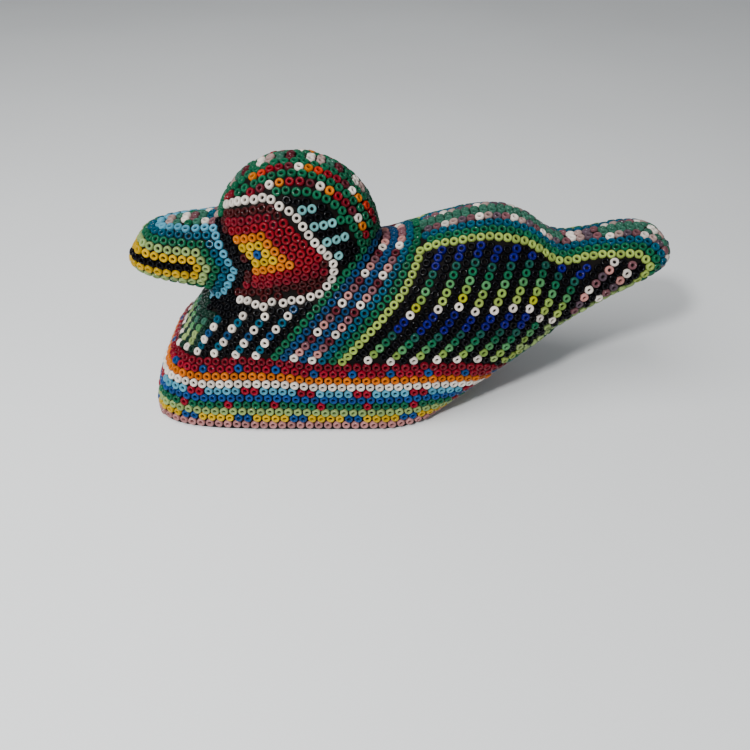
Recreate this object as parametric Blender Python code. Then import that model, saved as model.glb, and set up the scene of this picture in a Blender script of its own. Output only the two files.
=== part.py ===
"""Beaded duck: a carved wooden body, a coat of beeswax, and courses of glass beads pressed into the wax.

The duck faces -Y, its left side is +X, and it rests on z = 0. Every course of beads is modelled as one
solid shell of the beads' height; the courses follow the pattern that the maker laid out.
"""
import math

import bmesh
import bpy
from mathutils import Matrix, Vector

MM = 0.001

# Carving: the rough shapes are blended into one body. All lengths are in millimetres.
VOXEL = 0.8
SMOOTHING = 10
BODY_TRIANGLES = 1150
FLAT_ANGLE = math.radians(2.0)
HULL_LEVELS = 11
HULL_SIDES = 64
BACK_STATIONS = 47
BACK_SIDES = 48
HEAD_SEGMENTS = 48
BILL_STATIONS = 25
BILL_SIDES = 40

# Layers, measured inwards from the tops of the beads.
BEAD_HEIGHT = 1.3
GAP = 0.3
WAX_THICKNESS = 0.8
WAX_TOP = BEAD_HEIGHT + GAP
WAX_BOTTOM = WAX_TOP + WAX_THICKNESS
WOOD_TOP = WAX_BOTTOM + GAP
FOOT_GAP = 0.2            # beads and wax stop this far above the table

# Base band: rows of beads round the hull, from the table up.
ROW_PITCH = 1.95
ROW_NAMES = ("rose", "yellow", "lime", "green", "blue", "sky", "white", "orange", "dotted_red", "dark_red")
BAND_TOP = FOOT_GAP + ROW_PITCH * len(ROW_NAMES)

# Hull, as level slices: height, bow, stern, half width, fullness of the bow. The walls are modelled down
# past the table, then cut off flat.
HULL_SLICES = (
    (-8.0, -60.0, 8.0, 22.0, 5.2),
    (0.0, -60.0, 13.2, 22.0, 5.2),
    (6.0, -59.2, 21.0, 21.7, 5.0),
    (13.0, -56.8, 30.0, 21.2, 4.4),
    (18.0, -52.8, 36.0, 20.8, 3.4),
    (21.0, -49.6, 40.0, 20.4, 2.8),
)
STERN_FULLNESS = 2.7
WIDEST = -8.0             # station where the hull is widest

# Back and tail, as upright sections: station, top, shoulder height, underside, half width, fullness below.
BACK_SECTIONS = (
    (-51.0, 20.4, 18.0, 14.0, 7.0, 2.5),
    (-48.0, 24.5, 19.5, 12.0, 12.5, 2.5),
    (-44.0, 28.5, 20.5, 11.0, 16.0, 2.5),
    (-34.0, 36.0, 21.0, 10.0, 19.4, 2.5),
    (-20.0, 40.0, 21.0, 10.0, 20.4, 2.5),
    (-2.0, 41.6, 21.0, 10.0, 20.4, 2.5),
    (10.0, 46.0, 21.5, 8.0, 20.0, 2.6),
    (22.0, 48.6, 23.5, 10.5, 18.2, 2.8),
    (30.0, 46.4, 27.0, 15.2, 15.6, 2.8),
    (37.0, 41.6, 30.0, 19.6, 13.0, 2.8),
    (46.0, 42.6, 33.6, 25.6, 11.2, 2.6),
    (54.0, 44.2, 37.0, 30.6, 10.2, 2.5),
    (60.0, 43.0, 38.6, 34.0, 8.6, 2.4),
    (63.0, 40.2, 38.2, 36.4, 4.5, 2.4),
)
SHOULDER_FULLNESS = 1.9

# Head.
HEAD_CENTRE = (0.0, -22.5, 41.5)
HEAD_RADII = (14.8, 19.0, 19.3)

# Bill, as upright sections: station, top, bottom, half width.
BILL_SECTIONS = (
    (-62.3, 37.6, 35.2, 2.6),
    (-60.6, 40.4, 33.6, 5.4),
    (-57.5, 43.6, 32.2, 7.0),
    (-53.5, 45.2, 31.0, 7.8),
    (-48.0, 46.2, 29.8, 8.4),
    (-42.0, 46.9, 28.5, 9.0),
    (-34.0, 47.6, 27.0, 9.5),
)
BILL_FULLNESS = 2.6


# Side outlines of the courses above the band, as (y, z).
REACH = 30.0              # half width of every cutting prism, wider than the duck
FAR = 90.0
HALF_GAP = GAP / 2
SIDES = {"left": (HALF_GAP, REACH), "right": (-REACH, -HALF_GAP), "both": (-REACH, REACH)}
MOUTH_FRONT = -70.0
MOUTH_BACK = -48.0
MOUTH_HEIGHT = 36.6
MOUTH_HALF_HEIGHT = 1.0
BILL_PITCH = 1.9

CHEVRON = [(-41.5, 47.6), (-38.7, 42.0), (-36.8, 38.0), (-38.8, 33.0), (-42.0, 29.0)]
FACE_EDGE = [(-38.6, 50.4), (-36.3, 45.0), (-34.6, 38.0), (-35.2, 34.0), (-36.6, 30.6)]
CHEEK_TOP = [(-36.4, 52.8), (-32.5, 54.8), (-28.2, 56.0), (-24.8, 55.0), (-21.0, 53.2), (-17.4, 48.3),
             (-13.7, 42.2), (-12.9, 38.0), (-14.6, 34.4), (-16.6, 33.2)]
CHEEK_FOOT = [(-23.8, 31.9), (-31.0, 30.6)]
CHEEK_INNER_TOP = [(-37.0, 51.0), (-32.0, 52.6), (-28.4, 53.7), (-25.4, 52.8), (-22.3, 51.3), (-19.2, 47.0),
                   (-15.9, 41.6), (-15.1, 38.2), (-16.3, 35.9), (-17.4, 35.2)]
CHEEK_INNER_FOOT = [(-24.0, 34.0), (-31.0, 32.8), (-35.4, 33.3)]
CROWN_FOOT = [(-28.0, 57.2), (-22.2, 56.2), (-14.0, 50.4), (-9.8, 43.8), (-8.4, 38.4)]
COLLAR_FRONT = [(-3.2, 44.0), (-5.6, 41.2), (-8.4, 38.4), (-12.0, 33.6), (-16.4, 28.8), (-22.0, 24.3),
                (-25.0, BAND_TOP)]
COLLAR_BACK = [(5.6, 44.6), (4.4, 42.6), (0.2, 38.4), (-4.4, 33.6), (-8.6, 27.8), (-12.8, BAND_TOP)]
WING_TOP = [(5.4, 43.4), (13.7, 45.2), (22.2, 46.2), (30.4, 43.5), (36.1, 40.0), (45.6, 40.4), (53.0, 41.8),
            (57.0, 40.6)]
WING_END = [(57.4, 36.6), (55.6, 32.0)]
WING_INNER_TOP = [(6.4, 41.4), (13.9, 43.2), (21.8, 44.2), (29.3, 41.8), (35.5, 38.0), (45.6, 38.4),
                  (52.6, 39.6), (54.8, 39.0)]
WING_INNER_END = [(55.0, 36.4), (53.4, 34.0)]
TIER = [(-5.5, 29.2), (2.7, 31.2), (17.0, 32.3), (28.0, 31.2), (38.0, 29.6), (50.0, 27.0)]

BILL_OUTLINE = [(-70.0, 60.0), (-46.0, 60.0)] + CHEVRON + [(-46.0, 25.5), (-70.0, 25.5)]
FACE_BAND_OUTLINE = CHEVRON + FACE_EDGE[::-1]
CHEEK_OUTLINE = FACE_EDGE[:-1] + [(-36.0, 31.4)] + CHEEK_FOOT[::-1] + CHEEK_TOP[::-1]
CHEEK_INSIDE = [(-60.0, 51.0), (-60.0, 33.3)] + CHEEK_INNER_FOOT[::-1] + CHEEK_INNER_TOP[::-1]
CHEEK_STAR = [(-38.0, 49.0)] + FACE_EDGE[1:-1] + CHEEK_INNER_FOOT[:-1][::-1] + CHEEK_INNER_TOP[::-1]
CROWN_OUTLINE = [(-46.0, 60.0), (-41.2, 48.2), (-38.6, 50.4), (-36.4, 52.8), (-32.5, 54.8)] \
    + CROWN_FOOT[:-1] + COLLAR_FRONT[2::-1] + [(-3.2, 70.0), (-46.0, 70.0)]
NAPE_OUTLINE = CROWN_FOOT + CHEEK_TOP[2:-1][::-1]
COLLAR_OUTLINE = COLLAR_FRONT + COLLAR_BACK[::-1]
BREAST_OUTLINE = [(-70.0, BAND_TOP), (-70.0, 25.5), (-46.0, 25.5), (-42.0, 29.0), (-36.6, 30.6)] \
    + CHEEK_FOOT[::-1] + CHEEK_TOP[:-3:-1] + COLLAR_FRONT[2:]
WING_OUTLINE = COLLAR_BACK[:1:-1] + WING_TOP + WING_END + [(70.0, 26.0), (70.0, BAND_TOP)]
WING_INSIDE = [(-10.4, 10.0), (-10.4, BAND_TOP), (-6.4, 27.8), (-2.2, 33.6), (2.4, 38.4)] + WING_INNER_TOP \
    + WING_INNER_END + [(70.0, 20.0), (70.0, 10.0)]
WING_UPPER = [(-4.0, 31.0), (-2.2, 33.6), (2.4, 38.4)] + WING_INNER_TOP + WING_INNER_END + TIER[1:][::-1]
WING_LOWER = [(-10.4, BAND_TOP), (-6.4, 27.8), (-4.0, 31.0)] + TIER[1:] + [(70.0, 30.0), (70.0, BAND_TOP)]
SADDLE_OUTLINE = [(5.6, 44.6)] + WING_TOP + WING_END + [(70.0, 32.0), (70.0, 70.0), (5.6, 70.0)]

# Colours of the courses.
WHITE = (0.72, 0.66, 0.62)
LIME = (0.38, 0.5, 0.16)
GREEN = (0.02, 0.14, 0.07)
TEAL = (0.02, 0.13, 0.14)
BLUE = (0.02, 0.09, 0.3)
NAVY = (0.01, 0.02, 0.08)
BLACK = (0.005, 0.005, 0.008)
RED = (0.32, 0.01, 0.03)
MAUVE = (0.25, 0.12, 0.15)
YELLOW = (0.6, 0.45, 0.02)
ROW_COLOURS = {"rose": (0.45, 0.28, 0.28), "yellow": YELLOW, "lime": LIME, "green": GREEN, "blue": BLUE,
               "sky": (0.13, 0.4, 0.5), "white": WHITE, "orange": (0.65, 0.2, 0.01), "dotted_red": RED,
               "dark_red": (0.12, 0.01, 0.015)}
BILL_LOOPS = (("bill_mouth_line", BLACK), ("bill_yellow_loop", YELLOW), ("bill_lime_loop", LIME),
              ("bill_green_loop", GREEN))


def clear_scene():
    for item in list(bpy.data.objects):
        bpy.data.objects.remove(item)


def material(name, colour, roughness=0.3, metallic=0.0):
    made = bpy.data.materials.new(name)
    made.use_nodes = True
    shader = made.node_tree.nodes["Principled BSDF"]
    shader.inputs["Base Color"].default_value = (*colour, 1.0)
    shader.inputs["Roughness"].default_value = roughness
    shader.inputs["Metallic"].default_value = metallic
    return made


def new_object(name, mesh):
    made = bpy.data.objects.new(name, mesh)
    bpy.context.scene.collection.objects.link(made)
    return made


def smooth_between(table, at):
    """The row of a table at a place between its rows, on a smooth curve through them."""
    i = max([k for k in range(len(table) - 1) if table[k][0] <= at], default=0)
    t = (at - table[i][0]) / (table[i + 1][0] - table[i][0])
    near = [table[min(max(k, 0), len(table) - 1)] for k in (i - 1, i, i + 1, i + 2)]
    values = []
    for before, start, end, after in zip(*[row[1:] for row in near]):
        leave = (end - before) / 2
        arrive = (after - start) / 2
        values.append((2 * t**3 - 3 * t**2 + 1) * start + (t**3 - 2 * t**2 + t) * leave
                      + (3 * t**2 - 2 * t**3) * end + (t**3 - t**2) * arrive)
    return values


def loft(name, loops):
    """A closed solid through loops of equal length."""
    bm = bmesh.new()
    rings = [[bm.verts.new(Vector(point) * MM) for point in loop] for loop in loops]
    count = len(rings[0])
    for lower, upper in zip(rings, rings[1:]):
        for i in range(count):
            j = (i + 1) % count
            bm.faces.new((lower[i], lower[j], upper[j], upper[i]))
    bm.faces.new(rings[0])
    bm.faces.new(rings[-1])
    bmesh.ops.recalc_face_normals(bm, faces=bm.faces)
    mesh = bpy.data.meshes.new(name)
    bm.to_mesh(mesh)
    bm.free()
    return new_object(name, mesh)


def corner(value, fullness):
    """A coordinate of a superellipse: fullness 2 is an ellipse, and more is squarer."""
    return math.copysign(abs(value) ** (2.0 / fullness), value)


def spread(table, count):
    """Evenly spaced places from a table's first row to its last."""
    first, last = table[0][0], table[-1][0]
    return [first + (last - first) * i / (count - 1) for i in range(count)]


def turns(count):
    return [2 * math.pi * i / count for i in range(count)]


def hull():
    loops = []
    for height in spread(HULL_SLICES, HULL_LEVELS):
        bow, stern, half, bow_fullness = smooth_between(HULL_SLICES, height)
        loop = []
        for turn in turns(HULL_SIDES):
            ahead = math.cos(turn) > 0
            fullness = bow_fullness if ahead else STERN_FULLNESS
            reach = WIDEST - bow if ahead else stern - WIDEST
            loop.append((half * corner(math.sin(turn), fullness),
                         WIDEST - reach * corner(math.cos(turn), fullness), height))
        loops.append(loop)
    return loft("hull", loops)


def back_and_tail():
    loops = []
    for station in spread(BACK_SECTIONS, BACK_STATIONS):
        top, shoulder, under, half, below = smooth_between(BACK_SECTIONS, station)
        loop = []
        for turn in turns(BACK_SIDES):
            rising = math.sin(turn) > 0
            fullness = SHOULDER_FULLNESS if rising else below
            tall = top - shoulder if rising else shoulder - under
            loop.append((half * corner(math.cos(turn), fullness), station,
                         shoulder + tall * corner(math.sin(turn), fullness)))
        loops.append(loop)
    return loft("back_and_tail", loops)


def head():
    mesh = bpy.data.meshes.new("head")
    bm = bmesh.new()
    bmesh.ops.create_uvsphere(bm, u_segments=HEAD_SEGMENTS, v_segments=HEAD_SEGMENTS // 2, radius=1.0)
    for vert in bm.verts:
        vert.co = Vector([(c + r * v) * MM for c, r, v in zip(HEAD_CENTRE, HEAD_RADII, vert.co)])
    bm.to_mesh(mesh)
    bm.free()
    return new_object("head", mesh)


def bill():
    loops = []
    for station in spread(BILL_SECTIONS, BILL_STATIONS):
        top, bottom, half = smooth_between(BILL_SECTIONS, station)
        middle = (top + bottom) / 2
        loop = [(half * corner(math.cos(turn), BILL_FULLNESS), station,
                 middle + (top - middle) * corner(math.sin(turn), BILL_FULLNESS))
                for turn in turns(BILL_SIDES)]
        loops.append(loop)
    return loft("bill", loops)


def evaluated_copy(source, name):
    graph = bpy.context.evaluated_depsgraph_get()
    graph.update()
    mesh = bpy.data.meshes.new_from_object(source.evaluated_get(graph), depsgraph=graph)
    mesh.name = name
    return mesh


def body_mesh():
    """The whole duck over the beads, as one smooth closed mesh."""
    bm = bmesh.new()
    shapes = [hull(), back_and_tail(), head(), bill()]
    for shape in shapes:
        bm.from_mesh(shape.data)
        bpy.data.objects.remove(shape)
    mesh = bpy.data.meshes.new("body")
    bm.to_mesh(mesh)
    bm.free()
    body = new_object("body", mesh)
    remesh = body.modifiers.new("blend", "REMESH")
    remesh.mode = "VOXEL"
    remesh.voxel_size = VOXEL * MM
    smooth = body.modifiers.new("smooth", "SMOOTH")
    smooth.factor = 0.5
    smooth.iterations = SMOOTHING
    fine = evaluated_copy(body, "body_fine")
    bpy.data.objects.remove(body)
    dense = new_object("body_dense", fine)
    fine.calc_loop_triangles()
    thin = dense.modifiers.new("thin", "DECIMATE")
    thin.ratio = BODY_TRIANGLES / len(fine.loop_triangles)
    coarse = evaluated_copy(dense, "body_coarse")
    bpy.data.objects.remove(dense)
    return coarse


def layer(body, name, depth, foot=None):
    """The body's surface moved inwards by a depth, and cut off level at its foot."""
    bm = bmesh.new()
    bm.from_mesh(body)
    bm.normal_update()
    moved = [vert.co - vert.normal * depth * MM for vert in bm.verts]
    for vert, place in zip(bm.verts, moved):
        vert.co = place
    if foot is not None:
        bmesh.ops.bisect_plane(bm, geom=bm.verts[:] + bm.edges[:] + bm.faces[:], dist=1e-7,
                               plane_co=(0.0, 0.0, foot * MM), plane_no=(0.0, 0.0, 1.0), clear_inner=True)
        rim = [edge for edge in bm.edges if edge.is_boundary]
        bmesh.ops.contextual_create(bm, geom=rim)
        bmesh.ops.recalc_face_normals(bm, faces=bm.faces)
    bmesh.ops.triangulate(bm, faces=bm.faces)
    mesh = bpy.data.meshes.new(name)
    bm.to_mesh(mesh)
    bm.free()
    return new_object(name, mesh)


def inset(outline, distance):
    """A closed outline moved inwards, with mitred corners; a negative distance moves it outwards."""
    turning = sum(a[0] * b[1] - b[0] * a[1] for a, b in zip(outline, outline[1:] + outline[:1]))
    side = distance * math.copysign(1.0, turning)
    moved = []
    for before, here, after in zip(outline[-1:] + outline[:-1], outline, outline[1:] + outline[:1]):
        first = (Vector(here) - Vector(before)).normalized()
        second = (Vector(after) - Vector(here)).normalized()
        mitre = (Vector((-first.y, first.x)) + Vector((-second.y, second.x))).normalized()
        stretch = max(mitre.dot(Vector((-first.y, first.x))), 0.5)
        moved.append(tuple(Vector(here) + mitre * side / stretch))
    return moved


def side_prism(name, outline, x_low, x_high):
    """A prism along X from an outline drawn in side view, as (y, z)."""
    return loft(name, [[(x, y, z) for y, z in outline] for x in (x_low, x_high)])


def capsule(radius):
    """Side outline of everything within a radius of the mouth line."""
    outline = [(MOUTH_FRONT, MOUTH_HEIGHT - radius)]
    for i in range(13):
        turn = math.pi * (i / 12 - 0.5)
        outline.append((MOUTH_BACK + radius * math.cos(turn), MOUTH_HEIGHT + radius * math.sin(turn)))
    outline.append((MOUTH_FRONT, MOUTH_HEIGHT + radius))
    return outline


def combine(target, tool, operation):
    change = target.modifiers.new(operation.lower(), "BOOLEAN")
    change.operation = operation
    change.object = tool
    change.use_self = True
    mesh = evaluated_copy(target, target.name)
    target.modifiers.clear()
    target.data = mesh


def keep_largest(piece):
    """Drops the offcuts that a cut leaves beside the piece, and merges faces that are nearly flat."""
    bm = bmesh.new()
    bm.from_mesh(piece.data)
    left = set(bm.verts)
    bodies = []
    while left:
        body = {left.pop()}
        edge_of_search = list(body)
        while edge_of_search:
            vert = edge_of_search.pop()
            for edge in vert.link_edges:
                other = edge.other_vert(vert)
                if other not in body:
                    body.add(other)
                    edge_of_search.append(other)
        left -= body
        bodies.append(body)
    largest = max(bodies, key=len)
    bmesh.ops.delete(bm, geom=[vert for vert in bm.verts if vert not in largest], context="VERTS")
    bmesh.ops.dissolve_limit(bm, angle_limit=FLAT_ANGLE, verts=bm.verts, edges=bm.edges)
    bmesh.ops.triangulate(bm, faces=bm.faces)
    bm.to_mesh(piece.data)
    bm.free()


def course(name, coat, keep, drop, finish):
    """One course of beads: the part of the bead coat that is inside one prism and outside others."""
    piece = new_object(name, coat.data.copy())
    combine(piece, keep, "INTERSECT")
    for cutter in drop:
        combine(piece, cutter, "DIFFERENCE")
    keep_largest(piece)
    piece.data.materials.clear()
    piece.data.materials.append(finish)
    piece.data.shade_smooth()
    return piece


def coat_between(body, name, outer_depth, inner_depth):
    """A coat all over the body but its flat foot, between two depths under the tops of the beads."""
    coat = layer(body, name, outer_depth, FOOT_GAP)
    inside = layer(body, "inside", inner_depth)
    combine(coat, inside, "DIFFERENCE")
    bpy.data.objects.remove(inside)
    return coat


def centre_over_origin():
    """Moves every piece alike along Y, so that the origin lies under the middle of the duck."""
    pieces = list(bpy.data.objects)
    stations = [vert.co.y for piece in pieces for vert in piece.data.vertices]
    move = Matrix.Translation((0.0, -(min(stations) + max(stations)) / 2, 0.0))
    for piece in pieces:
        piece.data.transform(move)


def main():
    clear_scene()
    body = body_mesh()
    core = layer(body, "wood_core", WOOD_TOP, 0.0)
    core.data.materials.append(material("wood", (0.55, 0.38, 0.2), 0.6))
    wax = coat_between(body, "wax_skin", WAX_TOP, WAX_BOTTOM)
    wax.data.materials.append(material("wax", (0.12, 0.08, 0.05), 0.5))
    beads = coat_between(body, "bead_coat", 0.0, BEAD_HEIGHT)
    cutters = []

    def prism(outline, sides):
        low, high = SIDES[sides]
        cutters.append(side_prism("cutter", outline, low, high))
        return cutters[-1]

    def add(name, colour, outline, sides="both", hole=None):
        inside = prism(inset(outline, HALF_GAP), sides)
        outside = [prism(inset(hole, -HALF_GAP), "both")] if hole else []
        course(name, beads, inside, outside, material(name, colour))

    for i, row in enumerate(ROW_NAMES):
        low = FOOT_GAP + ROW_PITCH * i
        foot = low - GAP if i == 0 else low
        slab = [(-FAR, foot), (FAR, foot), (FAR, low + ROW_PITCH), (-FAR, low + ROW_PITCH)]
        add(f"band_row_{i + 1:02d}_{row}", ROW_COLOURS[row], slab)

    loops = [capsule(MOUTH_HALF_HEIGHT + BILL_PITCH * i) for i in range(len(BILL_LOOPS))]
    for (name, colour), loop, hole in zip(BILL_LOOPS, loops, [None] + loops):
        add(name, colour, loop, hole=hole)
    add("bill_field", BLUE, BILL_OUTLINE, hole=loops[-1])
    add("breast", BLACK, BREAST_OUTLINE)
    add("crown", GREEN, CROWN_OUTLINE)
    add("back_saddle", TEAL, SADDLE_OUTLINE)
    for side in ("left", "right"):
        add(f"face_band_{side}", BLACK, FACE_BAND_OUTLINE, side)
        add(f"cheek_edging_{side}", WHITE, CHEEK_OUTLINE, side, hole=CHEEK_INSIDE)
        add(f"cheek_star_{side}", RED, CHEEK_STAR, side)
        add(f"nape_{side}", BLACK, NAPE_OUTLINE, side)
        add(f"collar_{side}", MAUVE, COLLAR_OUTLINE, side)
        add(f"wing_edging_{side}", LIME, WING_OUTLINE, side, hole=WING_INSIDE)
        add(f"wing_upper_{side}", BLACK, WING_UPPER, side)
        add(f"wing_lower_{side}", NAVY, WING_LOWER, side)

    for helper in cutters + [beads]:
        bpy.data.objects.remove(helper)
    centre_over_origin()


main()
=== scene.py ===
"""Looks of the beaded duck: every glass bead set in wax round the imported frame, on a pale table.

The duck faces -Y and its left side, +X, faces the camera. Lengths are in millimetres until a mesh is made.
"""
import math
from itertools import product

import bmesh
import bpy
import numpy as np
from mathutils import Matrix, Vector
from mathutils.bvhtree import BVHTree
from mathutils.kdtree import KDTree


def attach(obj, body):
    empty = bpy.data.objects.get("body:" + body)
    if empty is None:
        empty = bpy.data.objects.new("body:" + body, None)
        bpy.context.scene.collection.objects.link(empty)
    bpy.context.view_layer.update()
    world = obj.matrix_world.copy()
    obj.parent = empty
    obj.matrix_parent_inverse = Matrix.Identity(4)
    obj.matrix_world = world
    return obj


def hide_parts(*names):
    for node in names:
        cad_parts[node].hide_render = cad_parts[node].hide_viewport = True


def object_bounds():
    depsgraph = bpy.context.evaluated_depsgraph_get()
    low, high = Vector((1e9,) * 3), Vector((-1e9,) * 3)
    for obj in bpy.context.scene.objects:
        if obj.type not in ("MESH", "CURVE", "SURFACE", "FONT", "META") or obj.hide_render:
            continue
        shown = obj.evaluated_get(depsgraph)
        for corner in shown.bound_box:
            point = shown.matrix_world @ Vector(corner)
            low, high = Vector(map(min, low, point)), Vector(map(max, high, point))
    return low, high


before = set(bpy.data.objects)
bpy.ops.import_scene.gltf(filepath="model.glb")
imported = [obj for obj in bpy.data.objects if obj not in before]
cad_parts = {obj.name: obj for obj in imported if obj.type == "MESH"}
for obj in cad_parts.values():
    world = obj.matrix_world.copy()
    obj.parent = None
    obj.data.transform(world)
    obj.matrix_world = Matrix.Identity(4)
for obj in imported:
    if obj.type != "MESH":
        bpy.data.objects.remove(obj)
cad_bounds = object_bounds()

MM = 0.001
BEAD_RADIUS = 1.03
BEAD_HOLE = 0.37  # radius of the hole
BEAD_HEIGHT = 1.4
PITCH = 2.05  # from bead to bead along a row
WIDE_PITCH = 2.12  # the same in the collar and the cheek
ROW = 1.88  # from one row to the next
WAX_DEPTH = 0.75  # the wax comes up to this depth under the tops of the beads
STEP = 0.5  # spacing of the points of a guide line
LOWEST = -0.1  # the lowest that the rim of a bead may come
rng = np.random.default_rng(11)

# How near the next bead another may lie, in pitches.
REACH = 0.77
BAND_REACH = 0.6
WING_FOOT_REACH = 0.6  # the white bead at the foot of a wing's column
BREAST_FOOT_REACH = 0.5  # the white bead at the foot of a column of the breast
COLLAR_REACH = 0.7
FILL_REACH = 0.72
BARE = 0.74  # a place with no bead this near is bare
KEEP_APART = 0.97  # beads nearer than this are eased apart
TOO_NEAR = 0.70  # of two beads still nearer than this after that, one is left out
ON_MIDDLE = 0.36  # a bead this near the middle plane is set on it
PAST_MIDDLE = 0.3  # a bead this far past it is left to the right half

# Where rows and guide lines end, as x in millimetres, a little past the middle plane.
ROW_END = -0.4
LINE_END = -1.2
LONG_LINE_END = -1.5

# ---- the carved shape, as the CAD has it
HULL_SLICES = (
    (-8.0, -60.0, 8.0, 22.0, 5.2),
    (0.0, -60.0, 13.2, 22.0, 5.2),
    (6.0, -59.2, 21.0, 21.7, 5.0),
    (13.0, -56.8, 30.0, 21.2, 4.4),
    (18.0, -52.8, 36.0, 20.8, 3.4),
    (21.0, -49.6, 40.0, 20.4, 2.8),
)
STERN_FULLNESS = 2.7
WIDEST = -8.0
BACK_SECTIONS = (
    (-51.0, 20.4, 18.0, 14.0, 7.0, 2.5),
    (-48.0, 24.5, 19.5, 12.0, 12.5, 2.5),
    (-44.0, 28.5, 20.5, 11.0, 16.0, 2.5),
    (-34.0, 36.0, 21.0, 10.0, 19.4, 2.5),
    (-20.0, 40.0, 21.0, 10.0, 20.4, 2.5),
    (-2.0, 41.6, 21.0, 10.0, 20.4, 2.5),
    (10.0, 46.0, 21.5, 8.0, 20.0, 2.6),
    (22.0, 48.6, 23.5, 10.5, 18.2, 2.8),
    (30.0, 46.4, 27.0, 15.2, 15.6, 2.8),
    (37.0, 41.6, 30.0, 19.6, 13.0, 2.8),
    (46.0, 42.6, 33.6, 25.6, 11.2, 2.6),
    (54.0, 44.2, 37.0, 30.6, 10.2, 2.5),
    (60.0, 43.0, 38.6, 34.0, 8.6, 2.4),
    (63.0, 40.2, 38.2, 36.4, 4.5, 2.4),
)
SHOULDER_FULLNESS = 1.9
HEAD_CENTRE = (0.0, -22.5, 41.5)
HEAD_RADII = (14.8, 19.0, 19.3)
BILL_SECTIONS = (
    (-62.3, 37.6, 35.2, 2.6),
    (-60.6, 40.4, 33.6, 5.4),
    (-57.5, 43.6, 32.2, 7.0),
    (-53.5, 45.2, 31.0, 7.8),
    (-48.0, 46.2, 29.8, 8.4),
    (-42.0, 46.9, 28.5, 9.0),
    (-34.0, 47.6, 27.0, 9.5),
)
BILL_FULLNESS = 2.6
VOXEL = 0.8
SMOOTHING = 10


def smooth_between(table, at):
    """The row of a table at a place between its rows, on a smooth curve through them."""
    i = max([k for k in range(len(table) - 1) if table[k][0] <= at], default=0)
    t = (at - table[i][0]) / (table[i + 1][0] - table[i][0])
    near = [table[min(max(k, 0), len(table) - 1)] for k in (i - 1, i, i + 1, i + 2)]
    values = []
    for before, start, end, after in zip(*[row[1:] for row in near]):
        leave = (end - before) / 2
        arrive = (after - start) / 2
        values.append((2 * t**3 - 3 * t**2 + 1) * start + (t**3 - 2 * t**2 + t) * leave
                      + (3 * t**2 - 2 * t**3) * end + (t**3 - t**2) * arrive)
    return values


def corner(value, fullness):
    """A coordinate of a superellipse: fullness 2 is an ellipse, and more is squarer."""
    return math.copysign(abs(value) ** (2.0 / fullness), value)


def spread(table, count):
    first, last = table[0][0], table[-1][0]
    return [first + (last - first) * i / (count - 1) for i in range(count)]


def turns(count):
    return [2 * math.pi * i / count for i in range(count)]


def add_loft(bm, loops):
    """A closed solid through loops of equal length."""
    rings = [[bm.verts.new(Vector(point) * MM) for point in loop] for loop in loops]
    count = len(rings[0])
    faces = []
    for lower, upper in zip(rings, rings[1:]):
        for i in range(count):
            j = (i + 1) % count
            faces.append(bm.faces.new((lower[i], lower[j], upper[j], upper[i])))
    faces.append(bm.faces.new(rings[0]))
    faces.append(bm.faces.new(rings[-1]))
    bmesh.ops.recalc_face_normals(bm, faces=faces)


def hull_point(turn, bow, stern, half, bow_fullness, height):
    """A point of the hull's level outline at a turn from straight ahead."""
    ahead = math.cos(turn) > 0
    fullness = bow_fullness if ahead else STERN_FULLNESS
    reach = WIDEST - bow if ahead else stern - WIDEST
    return half * corner(math.sin(turn), fullness), WIDEST - reach * corner(math.cos(turn), fullness), height


def hull_loops():
    loops = []
    for height in spread(HULL_SLICES, 11):
        sizes = smooth_between(HULL_SLICES, height)
        loops.append([hull_point(turn, *sizes, height) for turn in turns(64)])
    return loops


def back_loops():
    loops = []
    for station in spread(BACK_SECTIONS, 47):
        top, shoulder, under, half, below = smooth_between(BACK_SECTIONS, station)
        loop = []
        for turn in turns(48):
            rising = math.sin(turn) > 0
            fullness = SHOULDER_FULLNESS if rising else below
            tall = top - shoulder if rising else shoulder - under
            loop.append((half * corner(math.cos(turn), fullness), station,
                         shoulder + tall * corner(math.sin(turn), fullness)))
        loops.append(loop)
    return loops


def bill_loops():
    loops = []
    for station in spread(BILL_SECTIONS, 25):
        top, bottom, half = smooth_between(BILL_SECTIONS, station)
        middle = (top + bottom) / 2
        loops.append([(half * corner(math.cos(turn), BILL_FULLNESS), station,
                       middle + (top - middle) * corner(math.sin(turn), BILL_FULLNESS))
                      for turn in turns(40)])
    return loops


def added(name, data):
    """A new object in the scene."""
    obj = bpy.data.objects.new(name, data)
    bpy.context.scene.collection.objects.link(obj)
    return obj


def carved_body():
    """The duck's outer shape, over the tops of the beads, in metres."""
    bm = bmesh.new()
    for loops in (hull_loops(), back_loops(), bill_loops()):
        add_loft(bm, loops)
    ball = bmesh.ops.create_uvsphere(bm, u_segments=48, v_segments=24, radius=1.0)
    for vert in ball["verts"]:
        vert.co = Vector([(c + r * v) * MM for c, r, v in zip(HEAD_CENTRE, HEAD_RADII, vert.co)])
    mesh = bpy.data.meshes.new("rough")
    bm.to_mesh(mesh)
    bm.free()
    rough = added("rough", mesh)
    remesh = rough.modifiers.new("blend", "REMESH")
    remesh.mode = "VOXEL"
    remesh.voxel_size = VOXEL * MM
    smooth = rough.modifiers.new("smooth", "SMOOTH")
    smooth.factor = 0.5
    smooth.iterations = SMOOTHING
    graph = bpy.context.evaluated_depsgraph_get()
    graph.update()
    body = bpy.data.meshes.new_from_object(rough.evaluated_get(graph), depsgraph=graph)
    bpy.data.objects.remove(rough)
    # The CAD centres the duck on its box, so this one is centred the same way.
    ys = [vert.co.y for vert in body.vertices]
    low, high = cad_bounds[0][1], cad_bounds[1][1]
    shift = (low + high) / 2 - (min(ys) + max(ys)) / 2
    for vert in body.vertices:
        vert.co.y += shift
    return body


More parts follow.
